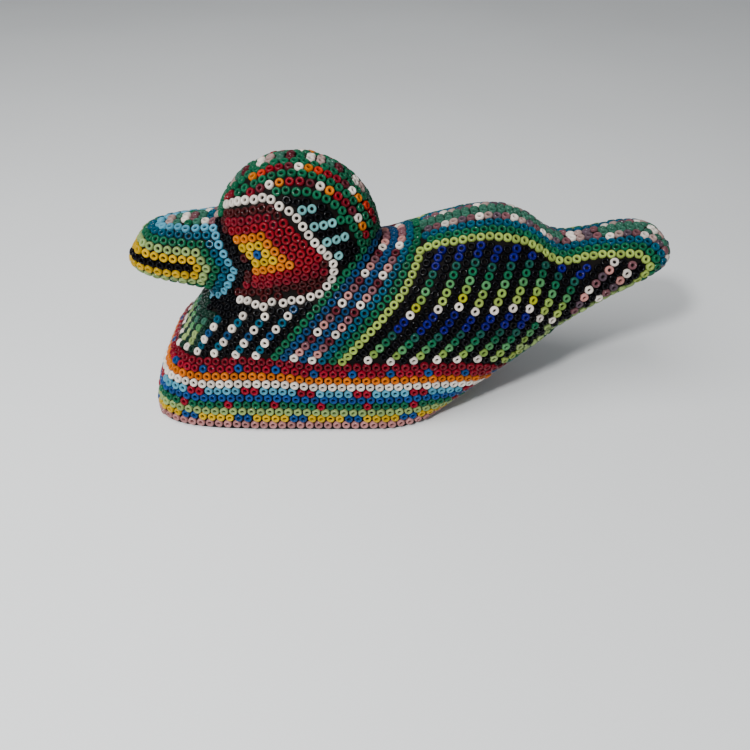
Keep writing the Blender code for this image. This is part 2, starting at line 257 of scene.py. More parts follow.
class Surface:
    """The body's surface at a depth under the tops of the beads, in millimetres."""

    def __init__(self, mesh, depth):
        self.points = [(vert.co / MM) - vert.normal * depth for vert in mesh.vertices]
        self.normals = [vert.normal.copy() for vert in mesh.vertices]
        mesh.calc_loop_triangles()
        self.faces = [tuple(tri.vertices) for tri in mesh.loop_triangles]
        self.tree = BVHTree.FromPolygons(self.points, self.faces)

    def normal_at(self, place, face):
        a, b, c = (self.points[k] for k in self.faces[face])
        ab, ac, ap = b - a, c - a, place - a
        d00, d01, d11 = ab.dot(ab), ab.dot(ac), ac.dot(ac)
        d20, d21 = ap.dot(ab), ap.dot(ac)
        span = d00 * d11 - d01 * d01
        if abs(span) < 1e-12:
            return self.normals[self.faces[face][0]]
        v = (d11 * d20 - d01 * d21) / span
        w = (d00 * d21 - d01 * d20) / span
        na, nb, nc = (self.normals[k] for k in self.faces[face])
        return (na * (1 - v - w) + nb * v + nc * w).normalized()

    def snap(self, place):
        """The nearest point of the surface and the normal there."""
        found, _, face, _ = self.tree.find_nearest(place)
        return found, self.normal_at(found, face)


body = carved_body()
surface = Surface(body, BEAD_HEIGHT / 2)


# ---- guide lines and rows
CURVE_STEPS = 12  # steps of a curve between two of its points
EVENING = 2  # rounds of evening out a line that has been moved sideways
LONGEST = 140  # most steps that a line is carried on at each end
MOST_BEADS = 90  # most beads of a row to each side of its anchor
BLEND_STEPS = 60  # steps of a line that is blended from two others
SLACK = 0.01  # a bead may lie this far past the end of its row
OUTSIDE = 60.0  # an x well off the duck's left side


def resample(line, step):
    """Points at about even steps along an open line, ends kept."""
    lengths = line_lengths(line)
    count = max(int(round(lengths[-1] / step)), 1)
    return [along(line, lengths, lengths[-1] * i / count) for i in range(count + 1)]


def along(line, lengths, at):
    """The point of a line at a length from its start, carried straight on past its ends."""
    if at <= 0:
        return line[0] + (line[0] - line[1]).normalized() * -at
    if at >= lengths[-1]:
        return line[-1] + (line[-1] - line[-2]).normalized() * (at - lengths[-1])
    k = int(np.searchsorted(lengths, at, side="right")) - 1
    k = min(k, len(line) - 2)
    t = (at - lengths[k]) / max(lengths[k + 1] - lengths[k], 1e-9)
    return line[k].lerp(line[k + 1], t)


def line_lengths(line):
    lengths = [0.0]
    for a, b in zip(line, line[1:]):
        lengths.append(lengths[-1] + (b - a).length)
    return lengths


def nearest_length(line, lengths, place):
    """How far along a line the point nearest to a place lies."""
    best, found = 1e9, 0.0
    for k, (a, b) in enumerate(zip(line, line[1:])):
        edge = b - a
        t = min(max((place - a).dot(edge) / max(edge.dot(edge), 1e-12), 0.0), 1.0)
        away = (a + edge * t - place).length
        if away < best:
            best, found = away, lengths[k] + t * edge.length
    return found


def tangent_at(line, i):
    return (line[min(i + 1, len(line) - 1)] - line[max(i - 1, 0)]).normalized()


def march(line, height):
    """The line at a height to the left of this one, as seen from outside, on the surface."""
    moved = []
    for i, place in enumerate(line):
        _, normal = surface.snap(place)
        side = normal.cross(tangent_at(line, i)).normalized()
        half, normal = surface.snap(place + side * height / 2)
        side = (side - normal * side.dot(normal)).normalized()
        moved.append(surface.snap(half + side * height / 2)[0])
    for _ in range(EVENING):
        evened = [moved[0]]
        for a, b, c in zip(moved, moved[1:], moved[2:]):
            evened.append(surface.snap(b * 0.5 + (a + c) * 0.25)[0])
        evened.append(moved[-1])
        moved = evened
    return resample(moved, STEP)


def curve_on(places):
    """A smooth line on the surface through a few places."""
    line = []
    for k in range(len(places) - 1):
        near = [places[min(max(j, 0), len(places) - 1)] for j in (k - 1, k, k + 1, k + 2)]
        p0, p1, p2, p3 = (Vector(p) for p in near)
        for s in range(CURVE_STEPS):
            t = s / CURVE_STEPS
            line.append(0.5 * (2 * p1 + (p2 - p0) * t + (2 * p0 - 5 * p1 + 4 * p2 - p3) * t**2
                               + (3 * p1 - p0 - 3 * p2 + p3) * t**3))
    line.append(Vector(places[-1]))
    return resample([surface.snap(p)[0] for p in line], STEP)


def side_place(y, z):
    """The point of the left side that is seen at (y, z) in side view."""
    hit, _, _, _ = surface.tree.ray_cast(Vector((OUTSIDE, y, z)), Vector((-1.0, 0.0, 0.0)))
    return hit if hit is not None else surface.snap(Vector((0.0, y, z)))[0]


def side_curve(outline):
    """The line on the left side that an outline of (y, z) points shows in side view."""
    return curve_on([side_place(y, z) for y, z in outline])


def cell_of(place):
    """The cell of a grid at the beads' pitch that a place is in."""
    return tuple(int(math.floor(c / PITCH)) for c in place)


class Coat:
    """All the beads of the left half, with the mirror of each where it isn't on the middle plane."""

    def __init__(self):
        self.beads = []           # place, colour, region
        self.cells = {}

    def near(self, place, reach):
        around = product(*[(c - 1, c, c + 1) for c in cell_of(place)])
        return any((other - place).length < reach for cell in around for other in self.cells.get(cell, ()))

    def add(self, place, colour, region, reach=REACH):
        """Sets a bead, unless another is in its way."""
        if place.x < -PAST_MIDDLE * PITCH:
            return False
        if place.x < ON_MIDDLE * PITCH:
            place = Vector((0.0, place.y, place.z))
        place, normal = surface.snap(place)
        if place.z < LOWEST + BEAD_RADIUS * math.sqrt(max(1 - normal.z**2, 0.0)):
            return False
        if self.near(place, reach * PITCH):
            return False
        self.beads.append([place, colour, region])
        self.cells.setdefault(cell_of(place), []).append(place)
        if 0.0 < place.x < PITCH:
            twin = Vector((-place.x, place.y, place.z))
            self.cells.setdefault(cell_of(twin), []).append(twin)
        return True


def row_places(line, anchor, pitch=PITCH):
    """Places along a line at the beads' pitch, by their number from the one at the anchor."""
    lengths = line_lengths(line)
    start = nearest_length(line, lengths, anchor)
    found = {}
    for i in range(-MOST_BEADS, MOST_BEADS + 1):
        at = start + i * pitch
        if -SLACK <= at <= lengths[-1] + SLACK:
            found[i] = along(line, lengths, at)
    return found


def step_anchor(line, next_line, anchor, forward=True):
    """The place in the next line that sits between this line's anchor bead and its neighbour."""
    lengths = line_lengths(line)
    at = nearest_length(line, lengths, anchor)
    halfway = along(line, lengths, at + (PITCH / 2 if forward else -PITCH / 2))
    next_lengths = line_lengths(next_line)
    return along(next_line, next_lengths, nearest_length(next_line, next_lengths, halfway))


class Guide:
    """A line on the surface that can tell which side of it a place is on."""

    def __init__(self, line):
        self.line = line
        self.tree = KDTree(len(line))
        self.sides = []
        for i, place in enumerate(line):
            self.tree.insert(place, i)
            self.sides.append(surface.snap(place)[1].cross(tangent_at(line, i)))
        self.tree.balance()

    def left(self, place):
        """How far to the left of the line a place is; negative on its right."""
        nearest, i, away = self.tree.find(place)
        return math.copysign(away, (place - nearest).dot(self.sides[i]))


def carried(line, out):
    """The line with both ends carried on, or cut back, to where out() begins."""
    for _ in range(2):
        line = line[::-1]
        while len(line) > 6 and out(line[-1]) and out(line[-2]):
            line.pop()
        for _ in range(LONGEST):
            if out(line[-1]):
                break
            ahead = (line[-1] - line[-4]).normalized()
            line.append(surface.snap(line[-1] + ahead * STEP)[0])
    return line


def between(start, end, share):
    """The line a share of the way from one line to another."""
    starts = line_lengths(start)
    ends = line_lengths(end)
    line = []
    for i in range(BLEND_STEPS + 1):
        a = along(start, starts, starts[-1] * i / BLEND_STEPS)
        b = along(end, ends, ends[-1] * i / BLEND_STEPS)
        line.append(surface.snap(a.lerp(b, share))[0])
    return resample(line, STEP)


def rows_beside(line, anchor, gap, count, forward, out=None):
    """A line and its neighbours: the number of each, the line and the place its beads are numbered from."""
    for row in range(count):
        if row:
            moved = march(line, gap)
            if out:
                moved = carried(moved, out)
            anchor = step_anchor(line, moved, anchor, forward)
            line = moved
        yield row, line, anchor


def lay(coat, line, region, colour_of, anchor=None, keep=None, pitch=PITCH, reach=REACH):
    """Sets a row of beads along a line.

    colour_of gets the bead's number from the start of the row, its number from the anchor, and its place.
    """
    places = row_places(line, anchor if anchor is not None else line[0], pitch)
    kept = [(i, place) for i, place in places.items() if keep is None or keep(place)]
    for number, (i, place) in enumerate(kept):
        coat.add(place, colour_of(number, i, place), region, reach)


def cycle(colours, start=0):
    """A colour rule that repeats a few colours along a row."""
    return lambda number, i, place: colours[(number + start) % len(colours)]


def by_number(colours):
    """A colour rule that repeats a few colours counted from the anchor bead."""
    return lambda number, i, place: colours[i % len(colours)]


def plain(colour):
    """A colour rule for a row of one colour."""
    return lambda number, i, place: colour


# ---- the base band
BAND_START = 1.75  # height of the lowest row
BAND_ROW = 1.83  # from one row to the next
BAND_PITCH = 2.2
BAND_HOME = -15.0  # place along the duck that a row's beads are numbered from
BAND_BEADS = (-40, 90)  # numbers of its beads, enough to go all round
BAND_END = -0.2  # the rows' ends, in pitches past the middle plane
BOW_STEPS = (-46.0, -38.0, -27.0, -21.0)  # places along the duck where the rows' spacing changes
BOW_SPREAD = (-0.03, 0.06, 0.08, 0.0)  # and how much wider it is there
RING_POINTS = 360
RING_EVENING = 6  # rounds of evening out a ring
# Name of the row, the colours that repeat along it, and the place along the duck of the first of them.
BAND_ROWS = (
    ("band_row_01_rose", ("rose",), 0),
    ("band_row_02_yellow", ("blue", "blue", "yellow", "yellow", "yellow", "yellow"), -36.6),
    ("band_row_03_lime", ("pale_lime",), 0),
    ("band_row_04_green", ("red", "green", "green", "green", "green"), -29.7),
    ("band_row_05_blue", ("blue",), 0),
    ("band_row_06_sky", ("red", "red", "sky", "sky", "sky", "sky"), -35.6),
    ("band_row_07_white", ("white",), 0),
    ("band_row_08_orange", ("orange",), 0),
    ("band_row_09_dotted_red", ("blue", "red", "red", "red"), -28.3),
    ("band_row_10_dark_red", ("dark_red",), 0),
)


def closed_ring(height):
    """The level line round the hull at a height."""
    sizes = smooth_between(HULL_SLICES, height)
    return [surface.snap(Vector(hull_point(turn, *sizes, height)))[0] for turn in turns(RING_POINTS)]


def march_ring(loop, height):
    """A closed level line's neighbour above."""
    moved = []
    count = len(loop)
    for i, place in enumerate(loop):
        ahead = (loop[(i + 1) % count] - loop[i - 1]).normalized()
        _, normal = surface.snap(place)
        side = normal.cross(ahead)
        if side.z < 0:
            side = -side
        gap = height * (1.0 + float(np.interp(place.y, BOW_STEPS, BOW_SPREAD)))
        moved.append(surface.snap(place + side.normalized() * gap)[0])
    for _ in range(RING_EVENING):
        moved = [surface.snap(moved[i] * 0.5 + (moved[i - 1] + moved[(i + 1) % count]) * 0.25)[0]
                 for i in range(count)]
    return resample(moved + [moved[0]], STEP)[:-1]


def nearest_ahead(ring, ahead):
    """The number of the point on the left of a ring that lies nearest a place along the duck."""
    return min((i for i in range(len(ring)) if ring[i].x > 0), key=lambda i: abs(ring[i].y - ahead))


def lay_band(coat):
    """Ten closed rows round the foot. Returns the line of the topmost."""
    ring = closed_ring(BAND_START)
    for number, (name, colours, first) in enumerate(BAND_ROWS):
        if number:
            ring = march_ring(ring, BAND_ROW)
        line = ring + [ring[0]]
        lengths = line_lengths(line)
        start = lengths[nearest_ahead(ring, BAND_HOME)] + 0.5 * (number % 2) * BAND_PITCH
        shift = int(round((lengths[nearest_ahead(ring, first)] - start) / BAND_PITCH))
        for i in range(*BAND_BEADS):
            place = along(line, lengths, (start + i * BAND_PITCH) % lengths[-1])
            if place.x > BAND_END * PITCH:
                coat.add(place, colours[(i - shift) % len(colours)], name, BAND_REACH)
    return ring


# ---- the wings
# From here on an outline is a row of (y, z) points in side view, on the left side.
LIME_FRONT = ((-12.8, 19.8), (-9.9, 23.1), (-7.4, 26.0), (-4.8, 28.6), (-2.4, 31.2), (0.2, 33.7),
              (2.2, 36.4), (3.9, 39.3), (5.2, 41.6))
LIME_TOP = ((7.1, 42.4), (11.5, 43.5), (15.6, 44.4), (19.7, 44.8), (24.1, 44.6), (28.3, 43.4), (32.5, 41.0),
            (35.9, 38.9), (40.3, 38.9), (44.7, 39.6), (48.8, 40.3), (52.8, 40.6), (55.2, 39.8), (56.4, 38.0),
            (55.2, 35.8), (53.2, 33.8))
LIME_UNDER = ((50.2, 31.6), (46.0, 28.9), (41.6, 26.4), (37.3, 23.8), (33.0, 20.8), (28.9, 18.9),
              (24.9, 16.9))
TIER = ((-4.0, 28.4), (2.4, 29.6), (8.1, 31.0), (17.1, 30.7), (25.9, 30.4), (29.4, 28.5), (33.5, 26.7),
        (38.0, 23.4))
# Colours of a column's beads from the foot of a tier up.
LOWER_TIER = ("white", "lime_green", "light_green", "green", "dim_teal", "cobalt", "cobalt", "cobalt")
UPPER_TIER = ("white", "lime", "lime_green", "light_green", "green", "dim_teal", "cobalt", "cobalt",
              "cobalt", "cobalt")
TAIL_TIER = ("white", "pink", "dusty_mauve", "mauve")
FRONT_ROW = 2.15  # from column to column before FRONT_COLUMNS
WIDE_ROW = 1.97  # the same from WIDE_COLUMNS on
FRONT_COLUMNS = 5
WIDE_COLUMNS = 9
MOST_COLUMNS = 30
WING_MIDDLE = 12  # past this column, one with no beads ends the wing
SHADED_FOOT_COLUMNS = 14  # from here on the lower tier starts with pale lime instead of white: painted shade on the shaded underside
TAIL_COLUMNS = 20  # from here on a column has the tail's colours, from the top down
TAIL_SHIFT = {22: 3}  # columns whose colours start further on
BRIGHT_COLUMNS = (2, 6, 14)  # columns with lime yellow as the upper tier's second bead
EDGING_PITCH = 1.97
INSIDE_EDGING = 1.25  # how far inside the edging's line a column stays
WING_OVER_BAND = 0.9  # how far above the band's top line its beads stay
BELOW_BAND = -3.0  # guide lines end this far below it
SHADE_UNDER_TAIL = (30.0, 33.8)  # behind and below here the edging is pale lime: painted shade under the tail


def lay_wing(coat, above_band):
    """The wing's lime edging and its columns. Returns the edging's line."""
    edge = side_curve(LIME_FRONT + LIME_TOP + LIME_UNDER)
    edging = Guide(edge)
    tier = Guide(side_curve(TIER))

    def clear(place):
        return above_band.left(place) > WING_OVER_BAND and place.x > ROW_END

    def in_wing(place):
        return clear(place) and edging.left(place) < -INSIDE_EDGING

    def edge_colour_with_painted_shade(number, i, place):
        # pale lime under the tail is painted shade
        return "pale_lime" if place.y > SHADE_UNDER_TAIL[0] and place.z < SHADE_UNDER_TAIL[1] else "lime"

    def out(place):
        return place.x < LONG_LINE_END or above_band.left(place) < BELOW_BAND

    lay(coat, edge, "wing_edging_left", edge_colour_with_painted_shade, keep=clear, pitch=EDGING_PITCH)
    column = carried(side_curve(LIME_FRONT), out)
    anchor = side_place(*LIME_FRONT[0])
    for number in range(1, MOST_COLUMNS + 1):
        gap = FRONT_ROW if number < FRONT_COLUMNS else ROW if number < WIDE_COLUMNS else WIDE_ROW
        moved = carried(march(column, -gap), out)
        anchor = step_anchor(column, moved, anchor, number % 2 == 0)
        column = moved
        kept = [place for place in row_places(column, anchor).values() if in_wing(place)]
        if not kept and number > WING_MIDDLE:
            break
        lay_column(coat, tier, number, kept)
    return edge


def lay_column(coat, tier, number, places):
    """One column of a wing, from its foot up: black in every second one."""
    lower = 0
    upper = 0
    for k, place in enumerate(places):
        above = tier.left(place) > 0
        if number % 2:
            colour = "black"
        elif number >= TAIL_COLUMNS:
            colour = TAIL_TIER[(len(places) - 1 - k + TAIL_SHIFT.get(number, 0)) % len(TAIL_TIER)]
        elif above:
            colour = UPPER_TIER[min(upper, len(UPPER_TIER) - 1)]
            if upper == 1 and number in BRIGHT_COLUMNS:
                colour = "lime_yellow"
        else:
            colour = LOWER_TIER[min(lower, len(LOWER_TIER) - 1)]
            # painted shade: pale lime in place of the white foot bead
            if lower == 0 and number >= SHADED_FOOT_COLUMNS:
                colour = "pale_lime"
        reach = WING_FOOT_REACH if colour == "white" and lower == 0 else REACH
        if coat.add(place, colour, "wing_upper_left" if above else "wing_lower_left", reach):
            upper += above
            lower += not above


# ---- the collar
COLLAR_FRONT = ((-28.2, 21.1), (-25.3, 24.4), (-22.6, 27.0), (-20.0, 29.7), (-17.1, 32.4), (-14.6, 34.7),
                (-11.8, 37.4), (-9.5, 40.5), (-8.1, 42.0), (-6.8, 43.3), (-5.6, 44.6), (-4.9, 45.0))
COLLAR_MIDDLE = ((-23.5, 21.1), (-19.5, 25.5), (-15.5, 29.6), (-11.6, 33.3), (-8.0, 36.6), (-6.0, 38.2),
                 (-4.8, 39.3), (-3.7, 40.2), (-2.9, 40.8), (-2.6, 41.0))
COLLAR_BACK = LIME_FRONT + ((6.2, 43.2), (6.6, 44.1))
# The rows from the back one, which is the wing's edging, to the front one.
COLLAR_ROWS = ("lime", "green", "teal_blue", "rosy", "deep_blue", "rosy", "deep_blue", "green")
MIDDLE_ROW = 5  # the row on the middle outline
COLLAR_ORDER = (5, 3, 7, 6, 4, 2, 1)  # the rosy rows are laid first
COLLAR_WHITES = {5: (-7.8, 37.2), 3: (-3.5, 36.9)}  # where a white bead of each rosy row lies
ROSY = ("white", "pink", "mauve", "maroon_glass")
COLLAR_OVER_BAND = 1.0


def lay_collar(coat, above_band):
    """Rows from the wing's edging to the neck. Returns the front row's line."""

    def out(place):
        return place.x < LINE_END

    def clear(place):
        return above_band.left(place) > COLLAR_OVER_BAND

    start = carried(side_curve(COLLAR_BACK), out)
    middle = carried(side_curve(COLLAR_MIDDLE), out)
    end = carried(side_curve(COLLAR_FRONT), out)
    last = len(COLLAR_ROWS) - 1
    beyond = last - MIDDLE_ROW
    lines = [between(start, middle, number / MIDDLE_ROW) for number in range(MIDDLE_ROW + 1)]
    lines += [between(middle, end, number / beyond) for number in range(1, beyond + 1)]
    anchors = {}
    for number in (*range(MIDDLE_ROW, last + 1), *range(MIDDLE_ROW - 1, 0, -1)):
        if number in COLLAR_WHITES:
            anchors[number] = side_place(*COLLAR_WHITES[number])
        else:
            beside = number - 1 if number > MIDDLE_ROW else number + 1
            anchors[number] = step_anchor(lines[beside], lines[number], anchors[beside])
    for number in COLLAR_ORDER:
        name = COLLAR_ROWS[number]
        rule = by_number(ROSY) if name == "rosy" else plain(name)
        reach = REACH if name == "rosy" else COLLAR_REACH
        lay(coat, lines[number], "collar_left", rule, anchors[number], clear, WIDE_PITCH, reach)
    return end


# ---- the back and tail
SADDLE_ROWS = ("green", "teal_blue", "rosy", "dusty_green", "rosy", "teal_blue", "green", "teal_blue")
BACK_ROSY = ("white", "dusty", "dusty_mauve", "mauve")
SADDLE_PITCH = 2.0
SADDLE_FRONT = 5.0  # the rows start behind here


def lay_saddle(coat, edge):
    """Rows along the back from the wings' top edges to the spine, and on under the tail."""
    def clear(place):
        return place.x > ROW_END and place.y > SADDLE_FRONT

    line = edge
    anchor = edge[0]
    for number, name in enumerate(SADDLE_ROWS):
        moved = march(line, ROW)
        anchor = step_anchor(line, moved, anchor, number % 2 == 0)
        line = moved
        rule = cycle(BACK_ROSY, number) if name == "rosy" else plain(name)
        lay(coat, line, "back_saddle", rule, anchor, clear, SADDLE_PITCH)


# ---- the breast
BREAST_LINES = (
    ((-32.4, 20.7), (-28.3, 26.0), (-22.8, 31.2)),
    ((-37.1, 20.1), (-33.1, 25.6), (-29.1, 29.9)),
    ((-42.2, 19.2), (-38.5, 24.6), (-33.9, 30.3)),
    ((-47.0, 18.4), (-43.4, 23.7), (-41.3, 26.7)),
)
# Colours of a column's beads from its foot up.
BREAST_COLUMN = ("white", "teal_blue", "white", "deep_blue")
CHEST_COLUMN = ("white", "pale_lime", "pale_lime", "light_green", "dusty_green", "dark_green", "dark_green")
CHEST_ROW = 1.75  # from column to column on the chest
CHEST_COLUMNS = 9
CHIN = 38.0  # columns end at this height
BREAST_OVER_BAND = 1.1
UNDER_CHEEK = 0.4  # how far below the cheek's edging a column ends


def lay_breast(coat, collar, above_band, cheek_foot):
    """Columns in front of the collar, each second one coloured, and the chest's close green columns."""

    def out(place):
        return place.x < LONG_LINE_END or above_band.left(place) < BELOW_BAND or place.z > CHIN

    def clear(place):
        return above_band.left(place) > BREAST_OVER_BAND and place.x > ROW_END

    columns = []
    anchors = []
    line = collar
    for points in BREAST_LINES:
        coloured = carried(side_curve(points), out)
        first = side_place(*points[0])
        halfway = between(line, coloured, 0.5)
        columns += [halfway, coloured]
        anchors += [step_anchor(coloured, halfway, first), first]
        line = coloured
    side_columns = len(columns)
    for _ in range(CHEST_COLUMNS):
        line = carried(march(columns[-1], CHEST_ROW), out)
        anchors.append(step_anchor(columns[-1], line, anchors[-1]))
        columns.append(line)
    for number, line in enumerate(columns):
        on_side = number < side_columns
        kept = [place for place in row_places(line, anchors[number]).values() if clear(place)]
        for k, place in enumerate(kept):
            if on_side and cheek_foot.left(place) < UNDER_CHEEK:
                break
            if not number % 2:
                colour = "black" if on_side else "dark_green"
            elif on_side:
                colour = BREAST_COLUMN[k % len(BREAST_COLUMN)]
            else:
                colour = CHEST_COLUMN[min(k, len(CHEST_COLUMN) - 1)]
            reach = BREAST_FOOT_REACH if colour == "white" and k == 0 else REACH
            coat.add(place, colour, "breast", reach)


# ---- the crown
CROWN_FOOT = ((-37.5, 50.9), (-35.5, 52.1), (-31.2, 54.0), (-26.0, 55.4), (-21.7, 55.7), (-17.4, 54.9),
              (-13.6, 52.6), (-11.0, 49.2), (-9.8, 47.2), (-8.7, 45.0), (-8.2, 42.2))
CROWN_TOP = ((-37.4, 52.0), (-35.0, 54.1), (-31.5, 56.8), (-27.7, 58.8), (-23.5, 59.5), (-19.2, 59.1),
             (-15.2, 57.7), (-11.3, 55.2), (-8.7, 52.2), (-6.6, 49.0))
# Where a bead of the first colour lies in each row from the foot line to the top line.
CROWN_FIRST = ((-26.0, 55.4), (-27.5, 57.0), (-25.0, 58.3), (-21.3, 59.4))
CROWN_ROWS = (
    ("green",),
    ("white", "amber", "crimson", "dark_red", "maroon_glass"),
    ("green",),
    ("white", "amber", "scarlet", "crimson", "dark_red", "maroon_glass"),
    ("green",),
    ("white", "dusty", "dusty_green", "maroon_glass", "green"),
)
CROWN_ROW = 1.72
CROWN_PITCH = 2.15
HEAD_BOTTOM = 30.0
HEAD_SPAN = (-40.0, -2.0)  # guide lines over the head end at these places along the duck
CROWN_BACK = -5.0  # rows end here, and below NECK_HEIGHT already at NECK_BACK
NECK_HEIGHT = 42.0
NECK_BACK = -9.0


def lay_crown(coat):
    """Rows over the head from above the cheek to the spine."""

    def out(place):
        return place.x < LINE_END or place.z < HEAD_BOTTOM

    def out_on_top(place):
        return place.x < LONG_LINE_END or place.y < HEAD_SPAN[0] or place.y > HEAD_SPAN[1]

    def on_head(place):
        back = CROWN_BACK if place.z > NECK_HEIGHT else NECK_BACK
        return place.x > ROW_END and place.y < back

    foot = carried(side_curve(CROWN_FOOT), out)
    top = carried(side_curve(CROWN_TOP), out)
    line = foot
    anchor = foot[0]
    for number, colours in enumerate(CROWN_ROWS):
        if number < len(CROWN_FIRST):
            line = between(foot, top, number / (len(CROWN_FIRST) - 1))
            anchor = side_place(*CROWN_FIRST[number])
        else:
            moved = carried(march(line, CROWN_ROW), out_on_top)
            anchor = step_anchor(line, moved, anchor)
            line = moved
        lay(coat, line, "crown", by_number(colours), anchor, on_head, CROWN_PITCH)


# ---- the cheeks
CHEEK_BACK = ((-37.5, 50.8), (-35.4, 52.2), (-33.3, 53.1), (-29.0, 54.4), (-25.7, 53.5), (-22.3, 51.9),
              (-19.9, 48.7), (-17.5, 45.3), (-15.0, 41.7), (-14.4, 38.4), (-15.6, 35.6), (-17.6, 33.6))
CHEEK_FOOT = ((-17.6, 33.6), (-19.8, 33.2), (-23.6, 32.5), (-27.0, 31.8), (-29.1, 31.4), (-31.6, 30.9),
              (-34.3, 31.1), (-35.7, 31.1))
FACE_EDGE = ((-36.9, 31.2), (-35.5, 32.9), (-34.0, 36.0), (-32.3, 39.3), (-33.4, 40.9), (-34.7, 42.4),
             (-36.0, 44.0), (-37.1, 45.6), (-38.1, 47.0), (-38.3, 48.7), (-37.9, 50.9))
EYE = (-30.6, 43.1)
EYE_ROW = (-28.4, 43.8)  # the next bead of the eye's row
STAR_RINGS = {0: "yellow", 1: "yellow", 2: "amber", 3: "crimson", 4: "dark_red"}
OUTER_RING = "maroon"
POINT_RING = 5  # the star's back point is crimson out to this ring
FRONT_RING = 3  # in front of the yellow beads the first ring is this one
YELLOW_FRONT = -2  # number of the foremost yellow bead
STAR_ROW = 1.86
STAR_ROWS = 10  # rows to each side, with the eye's own
STAR_RADIUS = 20.0
INSIDE_FACE = 0.6  # how far inside the face's edge the star's beads stay
INSIDE_WHITE = 1.1  # and inside the white edging's line


def star_colour(row, number):
    """A bead's colour by its row from the eye's and its number in the row, forward negative."""
    ring = max(row, number) if number >= YELLOW_FRONT else max(row, -number - 1, FRONT_RING)
    if row == number == 0:
        return "blue"
    if FRONT_RING < ring <= POINT_RING and number == ring > row + 1:
        return "crimson"
    return STAR_RINGS.get(ring, OUTER_RING)


def lay_cheek(coat, back, foot, face):
    """The star round the eye, in rows through a six-sided grid, and the white edging."""
    centre = side_place(*EYE)
    ahead = side_place(*EYE_ROW)
    for edging in (back, foot):
        lay(coat, edging.line, "cheek_edging_left", plain("white"), pitch=WIDE_PITCH)

    def inside(place):
        return (face.left(place) < -INSIDE_FACE and back.left(place) < -INSIDE_WHITE
                and foot.left(place) < -INSIDE_WHITE)

    step = (ahead - centre).normalized() * STEP
    line = [surface.snap(centre + step * i)[0] for i in range(-2, 3)]
    middle = carried(line, lambda p: (p - centre).length > STAR_RADIUS)
    for way in (1, -1):
        for row, line, anchor in rows_beside(middle, centre, -way * STAR_ROW, STAR_ROWS, way > 0):
            for i, place in row_places(line, anchor, WIDE_PITCH).items():
                if inside(place):
                    coat.add(place, star_colour(row, i), "cheek_star_left")


# ---- the nape
DASH = ((-18.0, 49.4), (-15.9, 49.5), (-13.8, 49.7))  # the top full dash
NAPE_ROW = 1.84
NAPE_ROWS = 9  # rows to each side, with that dash's own
NAPE_SPAN = (-24.0, -4.0)
NAPE_FOOT = 33.0
BEHIND_WHITE = 1.3  # how far behind the cheek's edging a row starts
BELOW_CROWN = 1.2
BEFORE_COLLAR = 1.2
SHORT_DASHES = 3  # past this row the dashes are single beads


def dash_length(way, row):
    """How many pale beads start a row of the nape, counted from the top dash down or, at way -1, up."""
    if row % 2:
        return 0
    if row > SHORT_DASHES:
        return 1
    return 2 if way < 0 and row else 3


def lay_nape(coat, back, crown_foot, collar_front):
    """Black beads behind the cheek with short dashes of pale blue ones."""

    def out(place):
        return place.y < NAPE_SPAN[0] or place.y > NAPE_SPAN[1] or place.x < 0 or place.z < NAPE_FOOT

    def inside(place):
        return (back.left(place) > BEHIND_WHITE and crown_foot.left(place) < -BELOW_CROWN
                and collar_front.left(place) > BEFORE_COLLAR)

    middle = carried(side_curve(DASH), out)
    for way in (1, -1):
        start = side_place(*DASH[0])
        for row, line, anchor in rows_beside(middle, start, -way * NAPE_ROW, NAPE_ROWS, way > 0):
            kept = [place for place in row_places(line, anchor).values() if inside(place)]
            for number, place in enumerate(kept):
                coat.add(place, "pale_teal" if number < dash_length(way, row) else "black", "nape_left")


# ---- the bill and the band behind it
MOUTH = ((-62.0, 38.4), (-61.1, 38.5), (-60.1, 38.6), (-56.3, 37.9), (-51.7, 37.3), (-47.5, 37.2))
BILL_LOOPS = (
    ("black", "bill_mouth_line"), ("yellow", "bill_yellow_loop"), ("pale_lime", "bill_lime_loop"),
    ("green", "bill_green_loop"), ("teal_blue", "bill_field"), ("sky", "bill_field"),
)
BILL_TOP = ("dusty_green", "teal_blue", "dusty", "dusty_green", "green", "dusty_green", "white", "mauve")
LOOP_COUNT = 12  # the coloured loops and the ones past them
BAND_LOOPS = 8  # above the mouth, the black band behind the bill ends at this loop
BILL_PITCH = 2.14
BILL_ROW_UP = 1.92
BILL_ROW_DOWN = 2.12
BILL_BACK = -30.0  # guide lines end at this place along the duck
BILL_FOOT = 27.0
FOREHEAD = (-39.5, 50.0)  # the rows on top of the bill stop behind and above here
BAND_FRONT = -45.0  # the black band stays behind here
BEFORE_FACE = 0.2  # and this far in front of the face's edge


def lay_bill(coat, face):
    """Six-sided loops round the end of the mouth line, out to the black face band and over the bill."""

    def out(place):
        return place.x < LINE_END or place.y > BILL_BACK

    def kind_of(way, row, i, place):
        """Colour and region of a bead, or None where there is none."""
        loop = max(row, i)
        if place.x < ROW_END or loop >= LOOP_COUNT or place.z < BILL_FOOT:
            return None
        if loop < len(BILL_LOOPS):
            return BILL_LOOPS[loop]
        if way < 0 and i < row:
            if place.y > FOREHEAD[0] or place.z > FOREHEAD[1]:
                return None
            return BILL_TOP[(i + 3 * row) % len(BILL_TOP)], "bill_field"
        if face.left(place) > BEFORE_FACE and (loop < BAND_LOOPS or way > 0) and place.y > BAND_FRONT:
            return "black", "face_band_left"
        return None

    mouth = side_curve(MOUTH)
    middle = carried(mouth[:], out)
    for way, gap in ((-1, BILL_ROW_UP), (1, BILL_ROW_DOWN)):
        for row, line, anchor in rows_beside(middle, mouth[-1], -way * gap, LOOP_COUNT, False, out):
            for i, place in row_places(line, anchor, BILL_PITCH).items():
                kind = kind_of(way, row, i, place)
                if kind:
                    coat.add(place, *kind)


